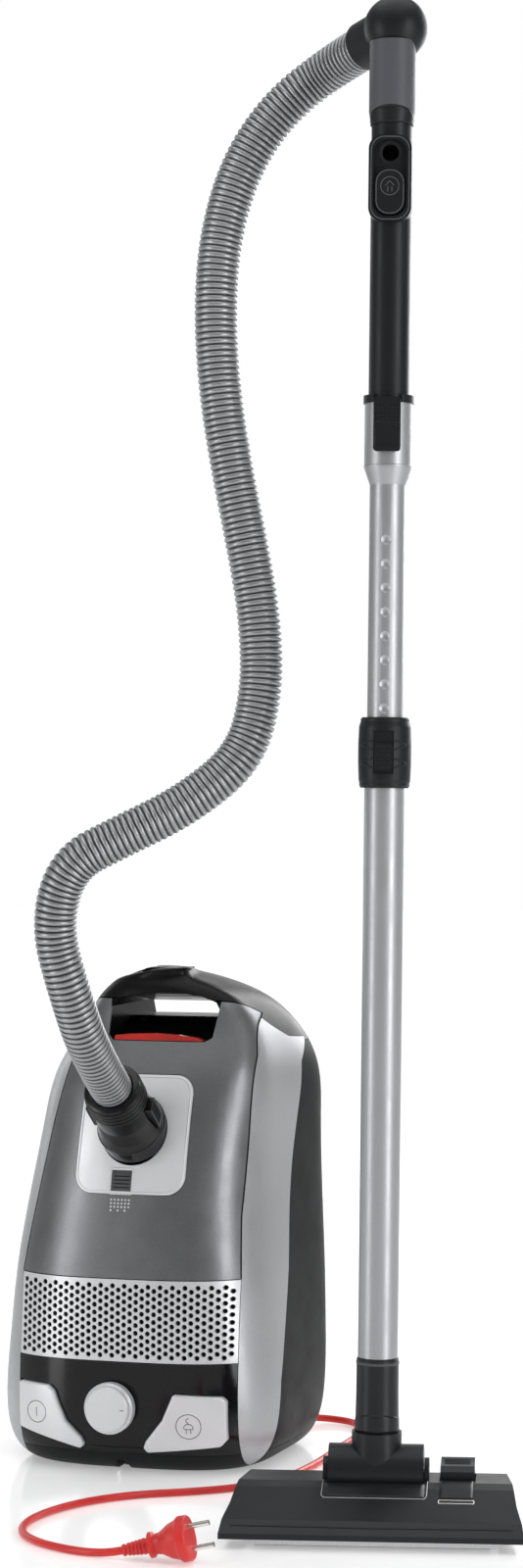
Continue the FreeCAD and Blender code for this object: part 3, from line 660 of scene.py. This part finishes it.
def lathe(name, profile, at, way, skin, body, sides=64):
    """Closed ring or cap turned about an axis; profile is (radius, height) in millimetres."""
    turn_to = V((0, 0, 1)).rotation_difference(V(way).normalized()).to_matrix()
    points, faces = [], []
    count = len(profile)
    for k in range(sides):
        turn = 2 * math.pi * k / sides
        for radius, height in profile:
            corner = V((radius * math.cos(turn), radius * math.sin(turn), height))
            points.append(V(at) + turn_to @ corner * MM)
    for k in range(sides):
        here, there = k * count, (k + 1) % sides * count
        for i in range(count):
            after = (i + 1) % count
            faces.append((here + i, there + i, there + after, here + after))
    mesh = mesh_from(name, points, faces)
    closed = bmesh.new()
    closed.from_mesh(mesh)
    bmesh.ops.remove_doubles(closed, verts=closed.verts, dist=1e-6)
    bmesh.ops.recalc_face_normals(closed, faces=closed.faces)
    closed.to_mesh(mesh)
    closed.free()
    mesh.set_sharp_from_angle(angle=math.radians(40))
    new_piece(name, mesh, skin, body)


def bead_ring(name, radius, half_width, rise, at, way, skin, body, steps=6, sunk=0.3):
    """Rounded ring round a shaft, its inner edge a little sunk."""
    profile = [(radius - sunk, -half_width)]
    for i in range(steps + 1):
        turn = math.pi * i / steps
        profile.append((radius + rise * math.sin(turn), -half_width * math.cos(turn)))
    profile.append((radius - sunk, half_width))
    lathe(name, profile, at, way, skin, body)


# ---- canister details ----------------------------------------------------------------------------
POWER_SIGN_AT = (-95, 55)               # millimetres, across and up the front
REWIND_SIGN_AT = (60, 49)


def plug_sign(u, v):
    """Plain outline of a two-pin plug with its cord, for the rewind pedal."""
    body = [(-4.2, -2), (-4.2, 0.6), (-2.2, 2.8), (2.2, 2.8), (4.2, 0.6), (4.2, -2), (-4.2, -2)]
    cord = [(0, 2.8), (-0.2, 4.2), (-1.8, 5.2), (-2.4, 6.8), (-1.0, 8.2), (0.8, 8.6)]
    pins = [[(side * 2.1, -2), (side * 2.1, -6.4)] for side in (-1, 1)]
    return [[(u + across, v + up) for across, up in path] for path in [body, cord] + pins]


def make_canister_details():
    sign_line = 0.42
    u, v = POWER_SIGN_AT
    bar_in_circle = [circle(u, v, 10.5), [(u, v - 5), (u, v + 5)]]
    relief("power_sign", Surface("power_pedal"), bar_in_circle, sign_line, "inner_grey")
    u, v = REWIND_SIGN_AT
    plug_in_circle = [circle(u, v, 11.8)] + plug_sign(u, v - 0.5)
    relief("rewind_sign", Surface("rewind_pedal"), plug_in_circle, sign_line, "inner_grey", step=0.8)
    relief("knob_mark", Surface("power_knob"), [[(-3.8, 64), (0.8, 64)]], 0.5, "inner_grey")

    panel = Surface("control_panel")
    relief("panel_lip", panel, [[(-44, 24.5), (-17, 24), (12, 24.5)]], 1.0, "panel_black", 0.8)
    # four rows of dots under the window, of which the lowest has every other dot only
    dots = [(-23 + 3.6 * i, 250.5 + 3.3 * k) for i in range(6) for k in range(4) if k or i % 2 == 0]
    domes("lid_dots", Surface("dust_lid"), dots, 1.0, 0.35, "plate_silver")
    plate = Surface("inlet_plate")
    relief("plate_rim", plate, [soft_rectangle(-60, 47, 268, 376, 16)], 0.8, "plate_silver", 0.5)
    relief("window_rim", plate, [soft_rectangle(-26, -2, 266, 290, 2)], 0.7, "plate_silver", 0.6)
    bars = [[(-22.5, z), (-5.5, z)] for z in (272, 275.5, 279, 282.5)]
    relief("window_bars", Surface("bag_window"), bars, 0.6, "seal_rubber", 0.4)


def make_grille_fleece():
    """Dark fleece a few millimetres behind the perforated grille."""
    bottom, top, rows = 110.8, 184.4, 5
    front, back = 7.0, 7.8              # the fleece's two faces, behind the grille's
    grille = Surface("exhaust_grille")
    columns = [(grille.at(x, bottom), grille.at(x, top)) for x in range(-114, 100, 6)]
    points, faces = [], []
    for low, high in columns:
        for depth in (front, back):
            for k in range(rows):
                points.append(low[0].lerp(high[0], k / (rows - 1)) + V((0, depth * MM, 0)))
    column = 2 * rows
    for i in range(len(columns) - 1):
        for k in range(rows - 1):
            a = i * column + k
            b = a + rows
            faces += [(a, a + column, a + column + 1, a + 1), (b, b + 1, b + column + 1, b + column)]
        a = i * column
        faces.append((a, a + rows, a + column + rows, a + column))
        a += rows - 1
        faces.append((a, a + column, a + column + rows, a + rows))
    last = (len(columns) - 1) * column
    for k in range(rows - 1):
        faces.append((k, k + 1, k + 1 + rows, k + rows))
    for a in range(last, last + rows - 1):
        faces.append((a, a + rows, a + rows + 1, a + 1))
    new_piece("grille_fleece", mesh_from("grille_fleece", points, faces), "carbon_foam", grille.body)


def make_cuff_details():
    body = NODES["hose_cuff"]["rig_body"]
    for index, height in enumerate((50, 55.5, 61, 66.5)):
        bead_ring("cuff_ring_%d" % (index + 1), 28.0, 1.3, 0.8, CUFF_AT + CUFF_WAY * height * MM, CUFF_WAY,
                  "cuff_black", body)
    bead_ring("cuff_base_ring", 33.0, 1.6, 1.0, CUFF_AT + CUFF_WAY * 4.2 * MM, CUFF_WAY, "cuff_black", body)
    lathe("cuff_mouth", [(20.4, 0), (27.6, 0), (27.0, 1.6), (24.5, 2.6), (21.2, 2.6), (20.4, 1.2)],
          CUFF_AT + CUFF_WAY * 70 * MM, CUFF_WAY, "cuff_black", body)
    turned = Matrix.Translation(CUFF_AT) @ V((0, 0, 1)).rotation_difference(CUFF_WAY).to_matrix().to_4x4()
    for node, side in (("cuff_button_left", LEFT), ("cuff_button_right", RIGHT)):
        button = Surface(node, side, turned)
        ribs = [[(-6, z), (6, z)] for z in range(18, 43, 4)]
        relief(node + "_ribs", button, ribs, 1.0, "cuff_black", 0.7)


# ---- wand details --------------------------------------------------------------------------------
def on_wand(height):
    """Place on the wand's axis at a height in millimetres."""
    return WAND_FRAME @ V((0, 0, height * MM))


def lens(centre, reach, rise, gap, steps=12):
    """Upper and lower arcs of a lens on both sides of a gap in its middle."""
    paths = []
    for side in (-1, 1):
        for up in (-1, 1):
            path = []
            for i in range(steps + 1):
                u = gap + (reach - gap) * i / steps
                path.append((side * u, centre + up * rise * (1 - (u / reach) ** 2)))
            paths.append(path)
    return paths


def arched_sleeve(name, low, high, arch, radius_at, skin, body, rings=6, sides=72, thickness=0.35):
    """Thin sleeve on the wand whose upper edge rises in an arch at front and back."""
    points, faces = [], []
    for layer in (0.0, thickness):
        for j in range(rings + 1):
            for k in range(sides):
                turn = 2 * math.pi * k / sides
                top = high + arch * abs(math.sin(turn)) ** 0.7
                z = low + (top - low) * j / rings
                r = radius_at(z) + layer * (0.4 if j == rings else 1.0)
                points.append(WAND_FRAME @ (V((r * math.cos(turn), r * math.sin(turn), z)) * MM))
    size = (rings + 1) * sides
    for j in range(rings):
        for k in range(sides):
            a, b = j * sides + k, j * sides + (k + 1) % sides
            faces.append((size + a, size + b, size + b + sides, size + a + sides))
            faces.append((a, a + sides, b + sides, b))
    for k in range(sides):
        after = (k + 1) % sides
        faces.append((k, after, size + after, size + k))
        a, b = rings * sides + k, rings * sides + after
        faces.append((a, size + a, size + b, b))
    new_piece(name, mesh_from(name, points, faces), skin, body)


def make_collar_details():
    collar = Surface("telescope_collar", FRONT, WAND_FRAME)
    lenses = lens(694.5, 19.5, 5.2, 9.6) + lens(678.5, 19.5, 5.2, 9.6)
    relief("collar_lenses", collar, lenses, 0.9, "handle_anthracite", 0.7)
    for index, (height, radius) in enumerate(((659.5, 21.9), (716.5, 21.2))):
        bead_ring("collar_bead_%d" % (index + 1), radius, 1.6, 0.5, on_wand(height), WAND_WAY,
                  "handle_anthracite", collar.body)
    slider = Surface("collar_slider", FRONT, WAND_FRAME)
    ridges = [[(-5.8, z), (5.8, z)] for z in (675, 678.5, 682, 686, 689.5, 693)]
    relief("slider_ridges", slider, ridges, 0.8, "handle_anthracite", 0.6)


def neck_radius(height):
    """The handle's neck, which widens over ten millimetres into the grip."""
    return 18.8 + 1.7 * min(max((height - 1246) / 10, 0), 1)


def make_handle_details():
    tab = Surface("tube_release", FRONT, WAND_FRAME)
    dots = [(-8 + 4 * i, 981 + 3.6 * k) for i in range(5) for k in range(5)]
    domes("release_dots", tab, dots, 0.85, 0.5, "handle_anthracite")
    relief("release_edge", tab, [soft_rectangle(-10.4, 10.4, 955, 976, 3)], 0.7, "handle_anthracite", 0.5)
    relief("release_step", tab, [[(-11.4, 978.2), (11.4, 978.2)]], 0.8, "cuff_black", 0.4)

    slide = Surface("suction_slider", FRONT, WAND_FRAME)
    sign = [circle(0, 1186.5, 8.0), [(-4.2, 1186.5), (0, 1191), (4.2, 1186.5)]]
    sign += [[(u, 1186.2), (u, 1181)] for u in (-1.8, 1.8)]
    relief("slider_sign", slide, sign, 0.4, "neck_grey", step=1.0)
    # The lighter grey bead round the slider's rim is a painted highlight line along its edge.
    relief("slider_painted_highlight", slide, [soft_rectangle(-12, 12, 1162.5, 1200.5, 11)], 0.45, "neck_grey", 0.4)
    grip = Surface("handle_grip", FRONT, WAND_FRAME)
    # The lighter grey bead round the grip's pod is a painted highlight line along its rim.
    relief("pod_painted_highlight", grip, [soft_rectangle(-16.8, 16.8, 1157.6, 1230.4, 11.5)], 0.5, "neck_grey", 0.4)
    lathe("vent_ring", [(7.2, -3), (8.0, -3), (10.8, 0.0), (10.6, 0.22), (8.6, 0.2), (7.4, -0.8)],
          WAND_FRAME @ V((0, -0.0185, 1.217)), WAND_FRONT, "seal_rubber", grip.body)
    arched_sleeve("grip_arch", 1244, 1246.5, 13, neck_radius, "handle_anthracite", grip.body)


def boot_radius(height):
    """The nozzle's neck, which narrows upwards."""
    return 19.5 - 0.7 * (height - 86.2) / 33.8


def make_tube_details():
    foot = NODES["nozzle_neck"]["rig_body"]
    arched_sleeve("neck_boot", 86.6, 97, 6, boot_radius, "nozzle_black", foot)
    bead_ring("neck_top_bead", 18.8, 1.2, 0.5, on_wand(147), WAND_WAY, "neck_grey", foot)

    upper = NODES["upper_tube"]["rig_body"]
    dimples, lowest, pitch, ball_ahead = 8, 727, 21.24, 22.1
    ball, mouth, wall, steps = 7.5, 4.6, 0.3, 6
    reaches = [mouth * i / steps for i in range(steps + 1)]
    bowl = [(reach, -math.sqrt(ball ** 2 - reach ** 2)) for reach in reaches]
    under = [(reach, depth - wall) for reach, depth in reversed(bowl)]
    for count in range(dimples):
        centre = WAND_FRAME @ (V((0, -ball_ahead, lowest + pitch * count)) * MM)
        lathe("dimple_%d" % (count + 1), bowl + under, centre, WAND_FRONT, "tube_silver", upper, 32)
    bead_ring("socket_bead", 21.2, 1.0, 0.4, on_wand(941.5), WAND_WAY, "tube_silver", upper)


# ---- nozzle details ------------------------------------------------------------------------------
def raised_panel(name, surface, low, high, height, skin, cells=14):
    """Low pad with rounded borders that follows a CAD surface between two corners, in millimetres."""
    lifts = (-0.3, 0.75, 1.0)           # on the border, one cell in, and further in
    points, faces = [], []
    for i in range(cells + 1):
        for k in range(cells + 1):
            at_u, at_v = [(1 - math.cos(math.pi * n / cells)) / 2 for n in (i, k)]
            place, normal = surface.at(low[0] + (high[0] - low[0]) * at_u,
                                       low[1] + (high[1] - low[1]) * at_v)
            lift = height * lifts[min(i, k, cells - i, cells - k, len(lifts) - 1)]
            points.append(place + normal * (lift * MM))
    row = cells + 1
    for i in range(cells):
        for k in range(cells):
            a = i * row + k
            faces.append((a, a + row, a + row + 1, a + 1))
    new_piece(name, mesh_from(name, points, faces), skin, surface.body)


def soften_edges(node, width, steps=4):
    """Rounds a moulded part's creases without touching its CAD mesh."""
    obj = NODES[node]
    weld = obj.modifiers.new("weld", "WELD")
    weld.merge_threshold = 1e-5
    bevel = obj.modifiers.new("round", "BEVEL")
    bevel.width = width * MM
    bevel.segments = steps
    bevel.limit_method = "ANGLE"
    bevel.angle_limit = math.radians(9)


def make_nozzle_details():
    soften_edges("nozzle_cover", 3.0)
    cover = Surface("nozzle_cover", TOP, NOZZLE_FRAME)
    raised_panel("barrel_apron", cover, (-44.5, -49), (44.5, -26), 1.3, "nozzle_black")
    bay = [(-46, -13), (-46, -46), (-44, -49.8), (44, -49.8), (46, -46), (46, -13)]
    relief("bay_line", cover, [bay], 0.6, "trim_silver")
    raised_panel("pedal_apron", cover, (57.5, -50), (86.5, -16), 1.6, "nozzle_black")
    relief("pedal_slot", cover, [soft_rectangle(56.6, 87.4, -56, -51, 0.8)], 0.6, "pin_nickel")
    relief("nozzle_lip", cover, [[(-122, -91), (0, -91.6), (122, -91)]], 0.9, "nozzle_black", 0.6)
    pedal = Surface("nozzle_pedal", TOP, NOZZLE_FRAME)
    relief("pedal_ribs", pedal, [[(60, y), (84, y)] for y in (2, 6, 10, 14)], 0.8, "nozzle_black", 0.5)


def make_bristles():
    """Two rows of tapered tufts, before and behind the sole's mouth."""
    dice = random.Random(7)
    tufts, half_row, sides = 66, 100, 6
    points, faces = [], []
    for y in (-76, -22):
        for i in range(tufts):
            x = -half_row + 2 * half_row * (i + 0.5) / tufts
            for lane in (-1.3, 1.3):
                base = V((x + dice.uniform(-0.4, 0.4), y + lane, 4.5))
                tip = base + V((dice.uniform(-0.6, 0.6), dice.uniform(-0.4, 0.4), -4.0))
                first = len(points)
                for centre, radius in ((base, 1.15), ((base + tip) * 0.5, 1.05), (tip, 0.75)):
                    for k in range(sides):
                        turn = 2 * math.pi * k / sides
                        at = centre + V((math.cos(turn), math.sin(turn), 0)) * radius
                        points.append(NOZZLE_FRAME @ (at * MM))
                for ring in range(2):
                    for k in range(sides):
                        a = first + ring * sides + k
                        b = first + ring * sides + (k + 1) % sides
                        faces.append((a, a + sides, b + sides, b))
                faces.append(tuple(first + k for k in range(sides)))
                faces.append(tuple(first + 2 * sides + k for k in reversed(range(sides))))
    new_piece("brush_tufts", mesh_from("brush_tufts", points, faces), "bristle",
              NODES["brush_strips"]["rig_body"])


def make_roller_treads():
    body = NODES["nozzle_rollers"]["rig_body"]
    way = NOZZLE_FRAME.to_3x3() @ V((1, 0, 0))
    for side, name in ((-1, "left"), (1, "right")):
        for index, shift in enumerate((-4, 4)):
            centre = NOZZLE_FRAME @ (V((side * 84 + shift, 26, 11)) * MM)
            bead_ring("roller_tread_%s_%d" % (name, index + 1), 10.55, 1.4, 0.35, centre, way,
                      "wheel_rubber", body)


# ---- running gear, back and underside ------------------------------------------------------------
def make_wheel_details():
    hub = [(7, -0.5), (35, -0.5), (34, 0.8), (30, 1.4), (12, 1.0), (9, 1.8), (7, 1.8)]
    for node in ("wheel_left", "wheel_right"):
        low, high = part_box(node)
        middle = (low + high) * 0.5
        body = NODES[node]["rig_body"]
        for index, shift in enumerate((-5.5, 0, 5.5)):
            bead_ring("%s_tread_%d" % (node, index + 1), 47.9, 1.7, 0.45, middle + V((shift * MM, 0, 0)),
                      (1, 0, 0), "wheel_rubber", body)
        for side, name in ((-1, "inner"), (1, "outer")):
            face = middle + V((side * 13 * MM, 0, 0))
            lathe("%s_hub_%s" % (node, name), hub, face, (side, 0, 0), "inner_grey", body)


def strain_profile():
    """Tapered sleeve round the cord, 28 mm long, with rings that let it bend."""
    outside = []
    for i in range(7):
        height = 3.4 * i
        crest = 6.2 - 0.30 * i
        groove = crest - 0.9
        outside += [(crest, height), (crest, height + 1.9), (groove, height + 2.2), (groove, height + 3.2)]
    return [(3.3, 0)] + outside + [(4.0, 24.6), (3.8, 28), (3.3, 28)]


def make_back_details():
    back = Surface("lower_housing", BACK)
    bars = [[(-58, z), (58, z)] for z in range(222, 287, 8)]
    relief("rear_vent_bars", back, bars, 1.6, "seal_rubber", 1.0, 3.0)
    raised_panel("rear_plate", back, (-38, 170), (38, 202), 0.7, "inner_grey")
    relief("rear_plate_edge", back, [soft_rectangle(-40, 40, 168, 204, 3)], 0.8, "seal_rubber", 0.5, 3.0)
    screws = [(-118, 30), (118, 30), (-116, 330), (116, 330)]
    domes("rear_screws", back, screws, 4.2, 1.3, "inner_grey", 20)
    slots = [[(u - 2.4, v), (u + 2.4, v)] for u, v in screws]
    relief("rear_screw_slots", back, slots, 0.5, "seal_rubber", 1.5, 1.0)
    body = NODES["lower_housing"]["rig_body"]
    lathe("cord_strain_relief", strain_profile(), OUTLET - V((0, 5 * MM, 0)), (0, 1, 0), "cord_red", body)


make_canister_details()
make_grille_fleece()
make_cuff_details()
make_collar_details()
make_handle_details()
make_tube_details()
make_nozzle_details()
make_bristles()
make_roller_treads()
make_wheel_details()
make_back_details()


# ---- studio --------------------------------------------------------------------------------------
def area_light(name, at, look, size, power):
    """Softbox at a place, turned to look at another."""
    data = bpy.data.lights.new(name, "AREA")
    data.shape = "RECTANGLE"
    data.size, data.size_y = size
    data.energy = power
    light = bpy.data.objects.new(name, data)
    bpy.context.scene.collection.objects.link(light)
    light.location = at
    light.rotation_euler = (V(look) - V(at)).to_track_quat("-Z", "Y").to_euler()


def make_world():
    """Bright backdrop on the side that the camera looks towards, dim studio everywhere else."""
    world = bpy.data.worlds.new("studio")
    bpy.context.scene.world = world
    world.use_nodes = True
    tree = world.node_tree
    background = tree.nodes["Background"]
    way = tree.nodes.new("ShaderNodeTexCoord").outputs["Generated"]
    facing = tree.nodes.new("ShaderNodeVectorMath")
    facing.operation = "DOT_PRODUCT"
    tree.links.new(way, facing.inputs[0])
    facing.inputs[1].default_value = (-math.sin(CAMERA_TURN), math.cos(CAMERA_TURN), 0.0)
    ramp = tree.nodes.new("ShaderNodeMapRange")
    ramp.interpolation_type = "SMOOTHSTEP"
    for key, value in (("From Min", BACKDROP_FADE[0]), ("From Max", BACKDROP_FADE[1]),
                       ("To Min", DIM_WORLD), ("To Max", 1.0)):
        ramp.inputs[key].default_value = value
    tree.links.new(facing.outputs["Value"], ramp.inputs["Value"])
    tree.links.new(ramp.outputs["Result"], background.inputs["Strength"])
    background.inputs["Color"].default_value = (1, 1, 1, 1)


def make_floor():
    """Wide, slightly glossy white floor that glows a little, so that it stays white in the picture."""
    corners = [(x * FLOOR_HALF, y * FLOOR_HALF, 0) for x, y in ((-1, -1), (1, -1), (1, 1), (-1, 1))]
    mesh = mesh_from("floor", corners, [(0, 1, 2, 3)], False)
    floor = bpy.data.objects.new("floor", mesh)
    bpy.context.scene.collection.objects.link(floor)
    n = Nodes("floor_white")
    n.put("Base Color", n.mix(n.span(n.noise(3.0), 0.0, 1.0), (0.86, 0.86, 0.86), (0.90, 0.90, 0.90)))
    n.put("Roughness", n.span(n.noise(20.0), 0.10, 0.15))
    n.put("Emission Color", (1, 1, 1, 1))
    n.put("Emission Strength", FLOOR_GLOW)
    mesh.materials.append(n.material)


def make_studio():
    make_world()
    make_floor()
    for light in LIGHTS:
        area_light(*light)


make_studio()
